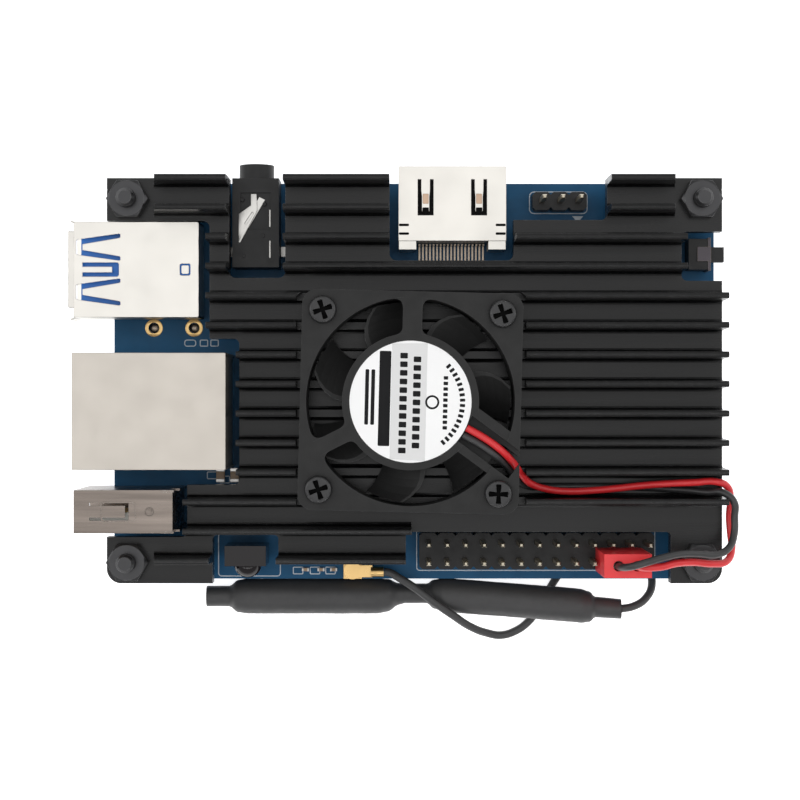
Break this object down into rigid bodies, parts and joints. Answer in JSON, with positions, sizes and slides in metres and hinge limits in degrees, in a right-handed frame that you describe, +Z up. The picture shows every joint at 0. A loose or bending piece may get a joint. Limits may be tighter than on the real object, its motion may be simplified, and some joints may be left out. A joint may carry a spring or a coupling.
{
  "type": "single board computer",
  "caption": "Credit-card-sized computer board under a finned black heatsink with a small cooling fan, edge sockets, a pin header and a wire-fed antenna.",
  "frame": {"origin": "centre of the footprint of the board and its connectors, on the plane of the bolt heads that it stands on", "axes": "+X along the board's length towards the push button, +Y across the board towards the video socket, +Z up out of the heatsink"},
  "size_m": [0.0918, 0.0672, 0.0219],
  "materials": {
    "board_laminate": "blue solder mask over glass laminate",
    "ceramic_parts": "satin fired ceramic with tinned ends",
    "chip_body": "moulded epoxy",
    "tin_shield": "satin tinned cover",
    "ferrite": "pressed ferrite",
    "thermal_pad": "soft filled silicone",
    "black_anodised": "black anodised extrusion",
    "black_steel": "black nickel plated steel",
    "plated_spacer": "nickel plated",
    "plated_shell": "bright tin plated sheet",
    "nickel_shell": "satin nickel plated sheet",
    "brushed_shell": "brushed nickel plated sheet",
    "blue_plastic": "blue moulded insulator",
    "white_plastic": "white moulded insulator",
    "black_plastic": "black moulded insulator",
    "lamp_plastic": "tinted light guide",
    "gold_contact": "gold plated contact",
    "tin_contact": "tin plated contact",
    "infrared_plastic": "dark lens plastic",
    "cable_jacket": "matt black jacket",
    "shrink_sleeve": "matt shrink sleeve",
    "fan_plastic": "fine spark-textured plastic",
    "bright_steel": "ground steel",
    "bronze": "sintered bronze",
    "copper_winding": "enamelled copper wire",
    "label_film": "white printed film",
    "red_plastic": "red moulded housing",
    "red_lead": "red vinyl insulation",
    "black_lead": "black vinyl insulation"
  },
  "bodies": {
    "board": {"circuit_board": "board_laminate", "small_parts": "ceramic_parts", "main_chip": "chip_body", "memory_chips": "chip_body", "storage_chip": "chip_body", "power_chip": "chip_body", "network_chip": "chip_body", "wireless_module": "tin_shield", "power_coils": "ferrite", "clock_crystal": "tin_shield", "thermal_pads": "thermal_pad", "heatsink": "black_anodised", "corner_bolts": "black_steel", "corner_nuts": "black_steel", "corner_spacers": "plated_spacer", "usb3_shell": "plated_shell", "usb3_insulator": "blue_plastic", "usb3_contacts": "gold_contact", "network_shell": "nickel_shell", "network_housing": "black_plastic", "network_contacts": "gold_contact", "network_lamps": "lamp_plastic", "usb2_shell": "brushed_shell", "usb2_insulator": "white_plastic", "usb2_contacts": "gold_contact", "sound_socket_body": "black_plastic", "sound_socket_contacts": "tin_contact", "video_shell": "plated_shell", "video_insulator": "black_plastic", "video_contacts": "gold_contact", "serial_header_base": "black_plastic", "serial_header_pins": "gold_contact", "pin_header_base": "black_plastic", "pin_header_pins": "gold_contact", "button_housing": "black_plastic", "button_cover": "tin_contact", "button_dome": "tin_contact", "infrared_receiver": "infrared_plastic", "infrared_leads": "tin_contact", "power_socket_shell": "nickel_shell", "power_socket_tongue": "black_plastic", "card_socket_shell": "nickel_shell", "card_socket_base": "black_plastic", "antenna_socket": "gold_contact", "antenna_plug": "gold_contact", "antenna_cable": "cable_jacket", "antenna_sleeve": "shrink_sleeve", "fan_frame": "fan_plastic", "fan_bearing": "bronze", "fan_stator": "copper_winding", "fan_label": "label_film", "fan_screws": "black_steel", "fan_plug": "red_plastic", "fan_plug_contacts": "tin_contact", "fan_lead_red": "red_lead", "fan_lead_black": "black_lead"},
    "fan_rotor": {"fan_rotor": "fan_plastic", "fan_magnet": "ferrite", "fan_shaft": "bright_steel"},
    "power_button": {"button_plunger": "black_plastic"}
  },
  "joints": [
    {"name": "fan_spin", "type": "hinge", "parent": "board", "child": "fan_rotor", "pos_m": [0.00155, -0.004, 0.0127], "axis": [0, 0, 1], "continuous": true},
    {"name": "button_press", "type": "slide", "parent": "board", "child": "power_button", "axis": [-1, 0, 0], "range_m": [0, 0.0003], "stiffness_N_per_m": 4000}
  ]
}
